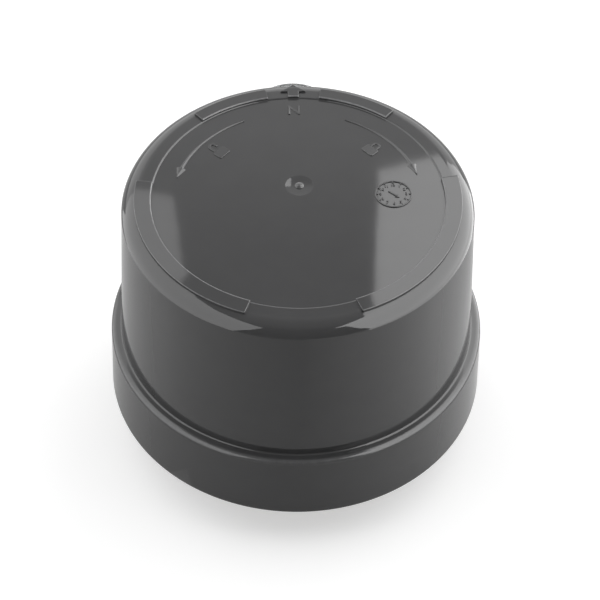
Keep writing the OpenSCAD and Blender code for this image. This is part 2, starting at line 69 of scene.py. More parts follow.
look_at = Vector((0, 0, 17.23)) * MM
azimuth, elevation, roll = math.radians(-2.8), math.radians(47.779), math.radians(1.076)
distance = 480 * MM
side_step = 0.787 * MM
toward_camera = Vector((math.sin(azimuth) * math.cos(elevation), -math.cos(azimuth) * math.cos(elevation),
                        math.sin(elevation)))
level_right = Vector((math.cos(azimuth), math.sin(azimuth), 0))
level_up = toward_camera.cross(level_right)
camera_right = math.cos(roll) * level_right + math.sin(roll) * level_up
camera_up = toward_camera.cross(camera_right)
camera_data = bpy.data.cameras.new("camera")
camera_data.sensor_width = 36
camera_data.lens = 129.09
camera_data.clip_start = 0.01
camera = add_object("camera", camera_data)
axes = Matrix((camera_right, camera_up, toward_camera)).transposed().to_4x4()
stand = look_at + toward_camera * distance + camera_right * side_step
camera.matrix_world = Matrix.Translation(stand) @ axes
scene.camera = camera
print("camera at", [round(v / MM, 1) for v in camera.matrix_world.translation])

# %% [markdown]
# ## Floor
# The switch stands on its blades on a white floor. A white that clips would need too much light on the
# object, so the floor is a pale grey that the lamps light, and a glow is added to what the camera sees of
# it. Gloss and glass see another glow, in front of the switch, that grows from none in the middle to the
# left and right, because the real switch mirrors a dark middle and pale sides. From below the floor is
# see-through, so that the blades can be seen. All of this is made of nodes, so helpers that add them come
# first.

# %% Helpers: nodes, finishes and pieces


def add_node(tree, kind, inputs=None, **settings):
    """The outputs of a new node; each of its inputs is given as an output to link or as a plain value."""
    node = tree.nodes.new(kind)
    for label, setting in settings.items():
        setattr(node, label, setting)
    for label, given in (inputs or {}).items():
        if hasattr(given, "is_output"):
            tree.links.new(given, node.inputs[label])
        else:
            node.inputs[label].default_value = given
    return node.outputs


def maths(tree, operation, *values):
    """A math node on one to three values."""
    return add_node(tree, "ShaderNodeMath", dict(enumerate(values)), operation=operation)[0]


def ramp(tree, value, low, high, to_low, to_high, interpolation="LINEAR"):
    """A value carried from one range to another, and held at its ends."""
    ranges = {"Value": value, "From Min": low, "From Max": high, "To Min": to_low, "To Max": to_high}
    return add_node(tree, "ShaderNodeMapRange", ranges, interpolation_type=interpolation)[0]


def object_place(tree):
    """The place on a piece, in its own coordinates."""
    return add_node(tree, "ShaderNodeTexCoord")["Object"]


def parts_of(tree, vector):
    """The X, Y and Z of a vector."""
    return add_node(tree, "ShaderNodeSeparateXYZ", {0: vector})


def new_finish(name, fixed=None):
    """A new material, its tree and its shader, with plain values for some of the shader's inputs."""
    finish = bpy.data.materials.new(name)
    finish.use_nodes = True
    shader = finish.node_tree.nodes["Principled BSDF"]
    for label, value in (fixed or {}).items():
        shader.inputs[label].default_value = value
    return finish, finish.node_tree, shader


def piece_from(name, bm, finish=None):
    """A mesh object made from a bmesh, with a material if one is given."""
    data = bpy.data.meshes.new(name)
    bm.to_mesh(data)
    bm.free()
    if finish:
        data.materials.append(finish)
    return add_object(name, data)


print("helpers for nodes start with", add_node.__name__)

# %% Floor
floor_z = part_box("neutral_blade")[0].z
floor_mesh = bmesh.new()
bmesh.ops.create_grid(floor_mesh, x_segments=8, y_segments=8, size=1.6,
                      matrix=Matrix.Translation((0, 0, floor_z)))
pale = {"Base Color": (0.68, 0.68, 0.68, 1), "Roughness": 0.9, "Specular IOR Level": 0,
        "Emission Color": (1, 1, 1, 1)}
floor_paint, tree, shader = new_finish("pale_floor", pale)
camera_glow, right_gloss_glow, left_gloss_glow = 0.5, 0.58, 0.25
glow_reach, glow_front_y, glow_back_y = 0.085, -0.02, 0.045
ray = add_node(tree, "ShaderNodeLightPath")
spot = parts_of(tree, object_place(tree))
glow = maths(tree, "MULTIPLY", ray["Is Camera Ray"], camera_glow)
by_shine = maths(tree, "MAXIMUM", ray["Is Glossy Ray"], ray["Is Transmission Ray"])
by_shine = maths(tree, "MULTIPLY", by_shine, ramp(tree, spot["Y"], glow_back_y, glow_front_y, 0, 1))
for side_glow, reach in ((right_gloss_glow, glow_reach), (left_gloss_glow, -glow_reach)):
    glow = maths(tree, "MULTIPLY_ADD", by_shine, ramp(tree, spot["X"], 0, reach, 0, side_glow), glow)
tree.links.new(glow, shader.inputs["Emission Strength"])
from_below = add_node(tree, "ShaderNodeNewGeometry")["Backfacing"]
see_through = add_node(tree, "ShaderNodeBsdfTransparent")[0]
one_sided = add_node(tree, "ShaderNodeMixShader", {0: from_below, 1: shader.outputs[0], 2: see_through})
tree.links.new(one_sided[0], tree.nodes["Material Output"].inputs["Surface"])
piece_from("floor", floor_mesh, floor_paint)
print("floor at", round(floor_z / MM, 2), "mm")

# %% [markdown]
# ## Lamps and reflection cards
# Gloss shows what stands round the object. In the photograph two large white sheets lean in from the left
# and the right, from the floor to overhead, and the gap between them opens towards the camera: the gap is
# the dark middle of the top, and the sheets are the clear patches on its sides and rim. Here they are
# cards that only gloss and glass can see. Cards on the floor carry on below them, and one more lies under
# the switch for its brass. Two lamps that gloss can't see give the light, so that light and mirror images
# can be set apart.

# %% Helper: a glowing sheet


def glowing_sheet(name, inner_edge, level, shoulder, outer_edge, glow, for_gloss, sag=0, front_corners=()):
    """A sheet in mm from an inner edge, rear to front, over a shoulder to a straight outer edge."""
    inner = [Vector((x, y, level)) for x, y in inner_edge]
    first, last = [Vector(end) for end in outer_edge]
    over = [p + Vector(shoulder) for p in inner]
    outer = [first.lerp(last, (inner[0].y - p.y) / (inner[0].y - inner[-1].y)) for p in inner]
    sagged = [p.lerp(q, 0.4) - Vector((0, sag, 0)) for p, q in zip(over, outer)]
    for line, corner in zip((over, sagged), front_corners):
        line[-1] = Vector(corner)
    sheet = bmesh.new()
    lines = [[sheet.verts.new(p * MM) for p in line] for line in (inner, over, sagged, outer)]
    for near, far in zip(lines, lines[1:]):
        for i in range(len(inner) - 1):
            sheet.faces.new((near[i], near[i + 1], far[i + 1], far[i]))
    cloth, tree, shader = new_finish(name + "_cloth")
    tree.nodes.remove(shader)
    across = parts_of(tree, object_place(tree))["X"]
    strength = ramp(tree, across, inner[0].x * MM, first.x / 2 * MM, *glow)
    light = add_node(tree, "ShaderNodeEmission", {"Strength": strength})
    tree.links.new(light[0], tree.nodes["Material Output"].inputs["Surface"])
    piece = piece_from(name, sheet, cloth)
    piece.visible_camera = False
    piece.visible_shadow = False
    piece.visible_diffuse = not for_gloss
    piece.visible_glossy = for_gloss
    piece.visible_transmission = for_gloss
    print(name, "glows from", glow[0], "to", glow[1])


# %% Cards and lamps
low, high, lamp_low = floor_z / MM + 0.5, 700, 460
right_edge = [(83, 674), (74, 560), (88, 450), (127, 250), (214, -19), (293, -197), (286, -383),
              (260, -661)]
left_edge = [(-50, 652), (-43, 580), (-87, 495), (-170, 317), (-328, 83), (-371, -134), (-327, -423),
             (-276, -645)]
left_front = [(-332, -728, 630), (-493, -927, 452)]
right_end = (800, -1024, low)
right_foot, left_foot = [(640, 780, low), right_end], [(-760, 610, low), (-800, -1140, low)]
glowing_sheet("right_card", right_edge, high, (90, 28, 0), right_foot, (4.2, 5.4), for_gloss=True, sag=80)
glowing_sheet("left_card", left_edge, high, (-155, 40, 0), left_foot, (2.6, 3.2), for_gloss=True, sag=72,
              front_corners=left_front)
glowing_sheet("right_floor_card", [(130, 130), (136, -60), (165, -260)], low, (10, 0, 0),
              [(640, 790, low), right_end], (5.0, 4.2), for_gloss=True)
glowing_sheet("left_floor_card", [(-150, 130), (-160, -60), (-190, -260)], low, (-10, 0, 0), left_foot,
              (2.7, 3.0), for_gloss=True)
glowing_sheet("blade_card", [(-38, 38), (-38, -38)], low, (10, 0, 0), [(38, 38, low), (38, -38, low)],
              (0.7, 0.7), for_gloss=True)
for name, side, glow in (("right_lamp", 1, 2.1), ("left_lamp", -1, 1.7)):
    glowing_sheet(name, [(side * 100, 520), (side * 140, -260)], high, (side * 10, 0, 0),
                  [(side * 640, 520, lamp_low), (side * 640, -260, lamp_low)], (glow, glow), for_gloss=False)
scene.view_settings.view_transform = "Standard"

# %% [markdown]
# ## Room
# What the cards leave open still shows in the gloss. One even colour all round would make the top look
# flat, so the world's strength follows a ray's direction. A pale backdrop stands behind the switch up to
# about 45 degrees, and the room is dimmer behind the camera. A bright band low in the north and a faint
# glow that grows overhead are for gloss alone, so that they put no light on the object. Smooth ramps have
# no edge that could be seen.

# %% World
world = bpy.data.worlds.new("studio_fill")
world.use_nodes = True
scene.world = world
studio = world.node_tree
way = parts_of(studio, add_node(studio, "ShaderNodeTexCoord")["Generated"])


def by_way(axis, low, high, to_low, to_high):
    """A strength that changes smoothly along one axis of a ray's direction."""
    return ramp(studio, way[axis], low, high, to_low, to_high, "SMOOTHSTEP")


backdrop = maths(studio, "MULTIPLY", by_way("Z", 0.67, 0.74, 0.66, 0), by_way("Y", -0.5, 0.3, 0, 1))
room = maths(studio, "ADD", by_way("Y", -0.2, 0.5, 0.26, 0.43), backdrop)
horizon = maths(studio, "MULTIPLY", by_way("Z", 0.52, 0.64, 0.9, 0), by_way("Y", 0.5, 0.85, 0, 1))
gloss_only = maths(studio, "ADD", horizon, by_way("Z", 0.74, 0.9, 0.1, 0.3))
in_gloss = add_node(studio, "ShaderNodeLightPath")["Is Glossy Ray"]
background = studio.nodes["Background"].inputs
studio.links.new(maths(studio, "MULTIPLY_ADD", gloss_only, in_gloss, room), background["Strength"])
background["Color"].default_value = (1, 1, 1, 1)
print("world:", world.name)

# %% [markdown]
# ## Moulded grey plastic
# The cover is injection moulded in a hard grey plastic. Its skin is glossy but not flat: large slow waves
# come from shrinking and a fine grain from the steel. The round edges of the shoulder, the skirt's lower edge
# and the raised bars get a painted highlight, a paler line, with a duller rub. The skin is a shader group
# because several finishes share it, and the edge highlight is one because each such edge uses it again.

# %% Shared effect: skin of a moulding


def new_group(name, kind, inputs, outputs):
    """A node group with named sockets: its tree, what it is given and the sockets at its end."""
    tree = bpy.data.node_groups.new(name, kind)
    for way, sockets in (("INPUT", inputs), ("OUTPUT", outputs)):
        for label, sort in sockets.items():
            tree.interface.new_socket(label, in_out=way, socket_type="NodeSocket" + sort)
    return tree, add_node(tree, "NodeGroupInput"), tree.nodes.new("NodeGroupOutput").inputs


def noise_node(tree, where, scale, detail=2.0, rough=0.5):
    """Cloudy noise between 0 and 1."""
    inputs = {"Vector": where, "Scale": scale, "Detail": detail, "Roughness": rough}
    return add_node(tree, "ShaderNodeTexNoise", inputs)["Fac"]


def floats(*labels):
    """Number sockets with these names."""
    return dict.fromkeys(labels, "Float")


skin, given, end = new_group("moulding_skin", "ShaderNodeTree", floats("Grain scale", "Wave share"),
                             floats("Blotch", "Grain", "Relief"))
at = object_place(skin)
grain = noise_node(skin, at, given["Grain scale"], 3.0)
wave = noise_node(skin, at, 70.0, 1.0)
slow = maths(skin, "MULTIPLY", wave, given["Wave share"])
skin.links.new(noise_node(skin, at, 160.0, 3.0), end["Blotch"])
skin.links.new(grain, end["Grain"])
skin.links.new(maths(skin, "MULTIPLY_ADD", grain, 0.04, slow), end["Relief"])
print("shader group:", skin.name)

# %% Shared effect: a painted highlight and a duller rub on a round edge


def length_of(tree, first, second):
    """The length across two sides at a right angle."""
    squares = [maths(tree, "MULTIPLY", side, side) for side in (first, second)]
    return maths(tree, "SQRT", maths(tree, "ADD", *squares))


edge_highlight_group, given, end = new_group("edge_highlight_and_rub", "ShaderNodeTree",
                               floats("Edge radius", "Edge level", "Reach"), floats("Highlight and rub"))
at = object_place(edge_highlight_group)
spot = parts_of(edge_highlight_group, at)
out = maths(edge_highlight_group, "SUBTRACT", length_of(edge_highlight_group, spot["X"], spot["Y"]), given["Edge radius"])
up = maths(edge_highlight_group, "SUBTRACT", spot["Z"], given["Edge level"])
off_edge = maths(edge_highlight_group, "DIVIDE", length_of(edge_highlight_group, out, up), given["Reach"])
near_edge = maths(edge_highlight_group, "MAXIMUM", maths(edge_highlight_group, "SUBTRACT", 1.0, off_edge), 0.0)
# Near the edge the mask is high: there the colour gets a painted highlight and the roughness a rub.
patchy = maths(edge_highlight_group, "ADD", noise_node(edge_highlight_group, at, 700.0, 4.0, 0.6), 0.2)
edge_highlight_group.links.new(maths(edge_highlight_group, "MULTIPLY", near_edge, patchy), end["Highlight and rub"])
print("shader group:", edge_highlight_group.name)

# %% Moulded plastic


def blend(tree, share, first, second):
    """A colour between two, each a colour or an output, by a share."""
    first, second = [c if hasattr(c, "is_output") else (*c, 1) for c in (first, second)]
    return add_node(tree, "ShaderNodeMix", {0: share, 6: first, 7: second}, data_type="RGBA")[2]


def cover_with(tree, shader, colour, roughness, height, depth_mm):
    """Gives a shader its colour, its roughness and a bump of some depth."""
    bump = add_node(tree, "ShaderNodeBump", {"Strength": 1, "Distance": depth_mm * MM, "Height": height})
    for label, given in (("Base Color", colour), ("Roughness", roughness), ("Normal", bump[0])):
        tree.links.new(given, shader.inputs[label])


def moulded_plastic(name, dark, pale, gloss, dull, relief_mm, grain_scale=2500.0, wave_share=1.0, edges=()):
    """Plastic with a moulding's skin; an edge, with a radius, a level and a reach, gets a painted highlight,
    so many times paler, and a rub.
    """
    finish, tree, shader = new_finish(name)
    moulding = add_node(tree, "ShaderNodeGroup", {"Grain scale": grain_scale, "Wave share": wave_share},
                        node_tree=skin)
    colour = blend(tree, moulding["Blotch"], dark, pale)
    roughness = ramp(tree, moulding["Grain"], 0, 1, gloss, dull)
    # Each edge is painted paler as a highlight and made duller as a rub.
    for edge_r, edge_z, reach, times_paler in edges:
        where = {"Edge radius": edge_r * MM, "Edge level": edge_z * MM, "Reach": reach * MM}
        highlight_and_rub = add_node(tree, "ShaderNodeGroup", where, node_tree=edge_highlight_group)["Highlight and rub"]
        colour = blend(tree, highlight_and_rub, colour, [times_paler * c for c in pale])
        roughness = maths(tree, "MULTIPLY_ADD", highlight_and_rub, 0.2, roughness)
    cover_with(tree, shader, colour, roughness, moulding["Relief"], relief_mm)
    return finish


print("finish maker:", moulded_plastic.__name__)

# %% [markdown]
# ## Cover
# The cover is one moulding: a skirt, a ledge with a rounded shoulder, a drafted wall, a rounded rim and a
# flat top with a sunk disc. Nearly all of it is a turned shape, so half of its section is drawn as a line,
# with each corner rounded, and spun round the axis. The window's opening and the gate's dimple are then
# cut out.

# %% Section of the cover


def arc_points(center, radius, start, end, steps):
    """Points on an arc in the section, from one angle to another in degrees."""
    turns = [math.radians(start + (end - start) * i / steps) for i in range(steps + 1)]
    return [(center[0] + radius * math.cos(t), center[1] + radius * math.sin(t)) for t in turns]


def rounded_line(corners, radii, hold, steps=8):
    """A line through the corners, each rounded, with a point held close to both ends of a round."""
    line = [corners[0]]
    for before, here, after, radius in zip(corners, corners[1:], corners[2:], radii):
        p, a, b = Vector(here), Vector(before), Vector(after)
        u, v = (a - p).normalized(), (b - p).normalized()
        half = u.angle(v) / 2
        cut = min(radius / math.tan(half), 0.75 * (a - p).length, 0.75 * (b - p).length)
        r = cut * math.tan(half)
        center = p + (u + v).normalized() * r / math.sin(half)
        first, last = p + u * cut - center, p + v * cut - center
        line.append(tuple(p + u * (cut + hold)))
        turn = first.angle_signed(last)
        for i in range(steps + 1):
            spin = -turn * i / steps
            line.append((center.x + first.x * math.cos(spin) - first.y * math.sin(spin),
                         center.y + first.x * math.sin(spin) + first.y * math.cos(spin)))
        line.append(tuple(p + v * (cut + hold)))
    line.append(corners[-1])
    return line


wall_draft, skirt_draft = math.radians(2.6), math.radians(1.9)
skirt_low_z, ledge_z, top_z, disc_z, ceiling_z, seat_z = -5.5, 11.4, 49.4, 49.18, 46.9, 9.3
skirt_low_r, ledge_wide, wall_thick, disc_r, rim_r, crease_z = 42, 2.25, 2.1, 31.39, 4.3, 46.6


def skirt_r(z):
    """The radius of the skirt's outside at a level."""
    return skirt_low_r - (z - skirt_low_z) * math.tan(skirt_draft)


def wall_r(z):
    """The radius of the wall's outside at a level."""
    return skirt_r(ledge_z) - ledge_wide - (z - ledge_z) * math.tan(wall_draft)


crease_turn = math.asin(1 - (top_z - crease_z) / rim_r)
rim_center = (wall_r(crease_z) - rim_r * math.cos(crease_turn), top_z - rim_r)
wall_gap = wall_thick / math.cos(wall_draft)
skirt_in = skirt_r(ledge_z) - wall_thick
step_lean, step_rounds = 0.18, [0.08, 0.36]
foot_rounds = [0.4, 1.1, 0.5, 0.25, 0.2, 0.2, 1.0]
top_corners = [(0, disc_z), (disc_r - step_lean, disc_z), (disc_r, top_z), (rim_center[0] - 0.15, top_z)]
top_line = rounded_line(top_corners, step_rounds, hold=0.04)
rim_line = arc_points(rim_center, rim_r, 90, math.degrees(crease_turn), 24)
wall_line = [(wall_r(z), z) for z in (crease_z - 0.12, crease_z - 0.3)]
foot_line = rounded_line([wall_line[-1], (wall_r(ledge_z), ledge_z), (skirt_r(ledge_z), ledge_z),
                          (skirt_low_r, skirt_low_z), (skirt_in, skirt_low_z), (skirt_in, seat_z),
                          (wall_r(seat_z) - wall_gap, seat_z), (wall_r(ceiling_z) - wall_gap, ceiling_z),
                          (0, ceiling_z)], foot_rounds, hold=0.15)
section = top_line + rim_line + wall_line + foot_line[1:]
print("section points:", len(section), "rim centre", [round(v, 2) for v in rim_center])

# %% Helpers: spin, cut and place


def plain_mesh(piece):
    """A mesh of a piece as it stands, with all that its modifiers add."""
    return bpy.data.meshes.new_from_object(piece.evaluated_get(bpy.context.evaluated_depsgraph_get()))


def settle(piece, sharp_over=None):
    """Makes a piece a plain mesh; with an angle in degrees, its shading is smooth up to that angle."""
    shape = plain_mesh(piece)
    piece.modifiers.clear()
    piece.data = shape
    if sharp_over is not None:
        shape.shade_smooth()
        shape.set_sharp_from_angle(angle=math.radians(sharp_over))
    return piece


def cut_out(piece, cutter):
    """Takes one closed mesh out of another."""
    cut = piece.modifiers.new("cut", "BOOLEAN")
    cut.object = cutter
    cut.operation = "DIFFERENCE"
    cut.solver = "EXACT"
    settle(piece)
    bpy.data.objects.remove(cutter)


def spun(line, steps, closed=False, center=(0, 0)):
    """A section of points (r, z) in mm turned round an upright axis; its ends may meet."""
    turned = bmesh.new()
    points = [turned.verts.new((r * MM, 0, z * MM)) for r, z in line]
    pairs = list(zip(points, points[1:])) + ([(points[-1], points[0])] if closed else [])
    edges = [turned.edges.new(pair) for pair in pairs]
    bmesh.ops.spin(turned, geom=points + edges, cent=(0, 0, 0), axis=(0, 0, 1), angle=2 * math.pi,
                   steps=steps, use_merge=True, use_duplicate=False)
    bmesh.ops.remove_doubles(turned, verts=turned.verts, dist=1e-7)
    bmesh.ops.recalc_face_normals(turned, faces=turned.faces)
    bmesh.ops.translate(turned, verts=turned.verts, vec=(center[0] * MM, center[1] * MM, 0))
    return turned


def place(piece, slot="cover_plastic", stands_for=None):
    """Joins a piece to the part's only body and hides the solid that it stands for; slot is not used."""
    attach(piece, "root")
    if stands_for:
        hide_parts(stands_for)
    piece.data.calc_loop_triangles()
    print(piece.name, "triangles:", len(piece.data.loop_triangles))


print("helpers for pieces:", settle.__name__, cut_out.__name__, spun.__name__, place.__name__)

# %% Greys of the cover, its long bars and its signs
bar_high, bar_low = 0.5, -0.9
short_bar, long_bar = (-0.01, 2.88, 0.02), (-0.2, 3.45, 0.03)


def bar_edges(inner, outer, drop):
    """The painted highlight and rub on a bar's inner and outer edge: radius, level, reach and how much paler.
    """
    return [(disc_r + inner + 0.1, top_z + bar_high - 0.06, 0.32, 4.6),
            (disc_r + outer - 0.04, top_z + bar_high - drop - 0.03, 0.18, 3.0)]


# The shoulder and the skirt's lower edge get a painted highlight, twice as pale, with a rub.
shoulder_edge = (skirt_r(ledge_z) - 0.32, ledge_z - 0.32, 0.9, 2.0)
bottom_edge = (skirt_low_r - 0.1, skirt_low_z + 0.1, 0.8, 2.0)
# The pale grey is the paler end of the random blotches and the base of every painted edge highlight.
dark_grey, pale_grey = (0.048, 0.048, 0.049), (0.056, 0.056, 0.057)
cover_grey = moulded_plastic("cover_grey", dark_grey, pale_grey, gloss=0.02, dull=0.055, relief_mm=0.012,
                             edges=[shoulder_edge, bottom_edge] + bar_edges(*short_bar))
bar_grey = moulded_plastic("bar_grey", dark_grey, pale_grey, gloss=0.02, dull=0.055, relief_mm=0.012,
                           edges=bar_edges(*long_bar))
sign_grey = moulded_plastic("sign_grey", (0.05, 0.05, 0.051), (0.06, 0.06, 0.061), gloss=0.12, dull=0.2,
                            relief_mm=0.012)
for finish in (cover_grey, bar_grey, sign_grey):
    finish.node_tree.nodes["Principled BSDF"].inputs["IOR"].default_value = 1.45
print("finishes:", cover_grey.name, bar_grey.name, sign_grey.name)

# %% Cover shell with its openings
cover = piece_from("cover_shell", spun(section, 256), cover_grey)
bay_y, bay_r, bay_mid_z, bay_high = 31.36, 9.4, 36.3, 18.2
opening = bmesh.new()
bmesh.ops.create_cone(opening, cap_ends=True, segments=160, radius1=bay_r * MM, radius2=bay_r * MM,
                      depth=bay_high * MM, matrix=Matrix.Translation(Vector((0, bay_y, bay_mid_z)) * MM))
cut_out(cover, piece_from("opening", opening))
gate_x, gate_y, dimple_r, dimple_deep, above = 0.4, 4.0, 3.05, 0.11, 1
dish_z = disc_z - dimple_deep
dish_line = [(dimple_r * i / 12, dish_z + dimple_deep * (i / 12) ** 2) for i in range(13)]
dish_line += [(dimple_r + 0.2, disc_z + 0.02), (dimple_r + 0.2, disc_z + above), (0, disc_z + above)]
cut_out(cover, piece_from("dish", spun(dish_line, 96, center=(gate_x, gate_y))))
settle(cover, 14)
on_lip = [abs(math.hypot(v.co.x - gate_x * MM, v.co.y - gate_y * MM) - dimple_r * MM) < 0.05 * MM
          and abs(v.co.z - disc_z * MM) < 0.01 * MM for v in cover.data.vertices]
lip_edges = [edge for edge in cover.data.edges if on_lip[edge.vertices[0]] and on_lip[edge.vertices[1]]]
for edge in lip_edges:
    edge.use_edge_sharp = True
print("edges on the dimple's lip:", len(lip_edges))
place(cover, stands_for="cover")

# %% [markdown]
# ## Twist arrows
# Two thin curved arrows on the disc show which way to turn the switch. Each is a low round-backed ridge
# that follows an arc and widens from its tail to its head. That is a rule, so a Geometry Nodes tree makes
# it: a block of cells is bent round the axis, its width and height follow the rule, and a copy is
# mirrored.

# %% Helpers: parts of a tree


def join_shapes(tree, *shapes):
    """Several shapes as one."""
    join = tree.nodes.new("GeometryNodeJoinGeometry")
    for shape in shapes:
        tree.links.new(shape, join.inputs[0])
    return join.outputs[0]


def mirrored_pair(tree, shape):
    """A shape and its mirror image on the other side of north."""
    other = add_node(tree, "GeometryNodeTransform", {"Geometry": shape, "Scale": (-1, 1, 1)})
    return join_shapes(tree, shape, other[0])


def end_tree(tree, shape, finish, end):
    """Makes the copies real, dresses them and gives them out."""
    real = add_node(tree, "GeometryNodeRealizeInstances", {0: shape})
    dressed = add_node(tree, "GeometryNodeSetMaterial", {"Geometry": real[0], "Material": finish})
    tree.links.new(dressed[0], end["Geometry"])
    print("tree:", tree.name)


def run_tree(name, tree, **values):
    """Runs a tree with values for its named inputs and keeps a plain mesh with its faces outwards."""
    piece = add_object(name, bpy.data.meshes.new(name))
    grow = piece.modifiers.new(name, "NODES")
    grow.node_group = tree
    sockets = {item.name: item.identifier for item in tree.interface.items_tree if item.in_out == "INPUT"}
    for label, given in values.items():
        grow[sockets[label.replace("_", " ").capitalize()]] = given
    settle(piece)
    faces = bmesh.new()
    faces.from_mesh(piece.data)
    bmesh.ops.recalc_face_normals(faces, faces=faces.faces)
    faces.to_mesh(piece.data)
    faces.free()
    return piece


print("helpers for trees end with", run_tree.__name__)

# %% Tree: a strip along an arc, on both sides of north
widths = floats("Middle radius", "Start", "Sweep", "Tail width", "Body width", "Head width", "Body share",
                "Low", "High")
strip, given, end = new_group("arc_strip_pair", "GeometryNodeTree",
                              {**widths, "Columns": "Int", "Finish": "Material"}, {"Geometry": "Geometry"})


def on_strip(operation, *values):
    """A math node in the strip's tree."""
    return maths(strip, operation, *values)


cells = {"Size X": 1, "Size Y": 1, "Vertices X": given["Columns"], "Vertices Y": 9}
grid = add_node(strip, "GeometryNodeMeshGrid", cells)["Mesh"]
rise = add_node(strip, "ShaderNodeCombineXYZ", {"Z": 1})[0]
pull = {"Mesh": grid, "Offset": rise, "Offset Scale": 1, "Individual": False}
pulled = add_node(strip, "GeometryNodeExtrudeMesh", pull)["Mesh"]
under = add_node(strip, "GeometryNodeFlipFaces", {0: grid})[0]
weld = {"Geometry": join_shapes(strip, pulled, under), "Distance": 1e-5}
block = add_node(strip, "GeometryNodeMergeByDistance", weld)[0]
here = parts_of(strip, add_node(strip, "GeometryNodeInputPosition")[0])
along = on_strip("ADD", here["X"], 0.5)
growth = on_strip("SUBTRACT", given["Body width"], given["Tail width"])
body_part = on_strip("DIVIDE", along, given["Body share"])
body_wide = on_strip("MULTIPLY_ADD", body_part, growth, given["Tail width"])
head_long = on_strip("MAXIMUM", on_strip("SUBTRACT", 1.0, given["Body share"]), 0.0001)
to_tip = on_strip("DIVIDE", on_strip("SUBTRACT", 1.0, along), head_long)
extra = on_strip("SUBTRACT", on_strip("MULTIPLY", to_tip, given["Head width"]), body_wide)
in_head = on_strip("GREATER_THAN", along, given["Body share"])
wide = on_strip("MAXIMUM", on_strip("MULTIPLY_ADD", extra, in_head, body_wide), 0.00001)
radius = on_strip("MULTIPLY_ADD", here["Y"], wide, given["Middle radius"])
turn = on_strip("MULTIPLY_ADD", along, given["Sweep"], given["Start"])
dome_share = 0.95
across = on_strip("MULTIPLY", here["Y"], 2 * dome_share)
domed = on_strip("SQRT", on_strip("SUBTRACT", 1.0, on_strip("MULTIPLY", across, across)))
tall = on_strip("MULTIPLY", on_strip("SUBTRACT", given["High"], given["Low"]), domed)
bent = {"X": on_strip("MULTIPLY", radius, on_strip("SINE", turn)),
        "Y": on_strip("MULTIPLY", radius, on_strip("COSINE", turn)),
        "Z": on_strip("MULTIPLY_ADD", tall, here["Z"], given["Low"])}
bent = add_node(strip, "ShaderNodeCombineXYZ", bent)[0]
bend = add_node(strip, "GeometryNodeSetPosition", {"Geometry": block, "Position": bent})[0]
end_tree(strip, mirrored_pair(strip, bend), given["Finish"], end)

# %% Twist arrows from the tree
arrows = run_tree("twist_arrows", strip, middle_radius=26.6 * MM, start=math.radians(24.75),
                  sweep=math.radians(50.75), tail_width=0.3 * MM, body_width=0.95 * MM, head_width=2.4 * MM,
                  body_share=0.865, low=(disc_z - 0.3) * MM, high=(disc_z + 0.3) * MM, columns=150,
                  finish=sign_grey)
place(settle(arrows, 30))

# %% [markdown]
# ## Raised bars and snap lugs
# Two pairs of low bars follow the edge of the sunk disc, and inside the skirt four lugs hold the base
# plate. Each keeps one section along its arc, so a second tree sweeps a drawn section along an arc and
# mirrors it.

# %% Tree: a section swept along an arc, on both sides of north
sweep, given, end = new_group("swept_pair", "GeometryNodeTree",
                              {"Section": "Object", **floats("Radius", "Level", "Start", "Sweep"),
                               "Steps": "Int", "Finish": "Material"}, {"Geometry": "Geometry"})
arc_end = maths(sweep, "ADD", given["Start"], given["Sweep"])
path = {"Start Angle": maths(sweep, "SUBTRACT", math.pi / 2, arc_end), "Sweep Angle": given["Sweep"],
        "Radius": given["Radius"], "Resolution": given["Steps"]}
arc = add_node(sweep, "GeometryNodeCurveArc", path)["Curve"]
drawn = add_node(sweep, "GeometryNodeObjectInfo", {"Object": given["Section"]})["Geometry"]
follow = {"Curve": arc, "Profile Curve": drawn, "Fill Caps": True}
swept = add_node(sweep, "GeometryNodeCurveToMesh", follow)["Mesh"]
level = add_node(sweep, "ShaderNodeCombineXYZ", {"Z": given["Level"]})[0]
raised = add_node(sweep, "GeometryNodeTransform", {"Geometry": swept, "Translation": level})[0]
end_tree(sweep, mirrored_pair(sweep, raised), given["Finish"], end)

# %% Bars on the rim


def section_curve(name, points):
    """A closed flat curve for the tree: x runs outwards from the arc, and y down, as the sweep turns it."""
    drawing = bpy.data.curves.new(name, "CURVE")
    drawing.dimensions = "2D"
    outline = drawing.splines.new("POLY")
    outline.points.add(len(points) - 1)
    for point, (x, height) in zip(outline.points, points):
        point.co = (x * MM, -height * MM, 0, 1)
    outline.use_cyclic_u = True
    return add_object(name, drawing)


def round_edges(piece, width_mm, steps=3, over=40):
    """Gives a piece a bevel that rounds every edge sharper than an angle."""
    bevel = piece.modifiers.new("rounds", "BEVEL")
    bevel.width = width_mm * MM
    bevel.segments = steps
    bevel.limit_method = "ANGLE"
    bevel.angle_limit = math.radians(over)


def keep_flats(piece):
    """Lets large flat faces set the shading beside their rounds, and makes the piece a plain mesh."""
    piece.data.shade_smooth()
    weigh = piece.modifiers.new("flats", "WEIGHTED_NORMAL")
    weigh.weight = 100
    return settle(piece)


for name, (inner, outer, drop), start, end, finish in (("short_bars", short_bar, 10.3, 39.8, cover_grey),
                                                       ("long_bars", long_bar, 80.5, 160.0, bar_grey)):
    corners = [(inner, bar_low), (inner, bar_high), (outer, bar_high - drop), (outer + 0.05, bar_low)]
    bar_section = section_curve("bar_section", rounded_line(corners, [0.3, 0.1], hold=0.03))
    bars = run_tree(name, sweep, section=bar_section, radius=disc_r * MM, level=top_z * MM,
                    start=math.radians(start), sweep=math.radians(end - start),
                    steps=round(end - start) * 2, finish=finish)
    bpy.data.objects.remove(bar_section)
    round_edges(bars, 0.22, steps=4, over=60)
    place(keep_flats(bars))

# %% Snap lugs in the skirt


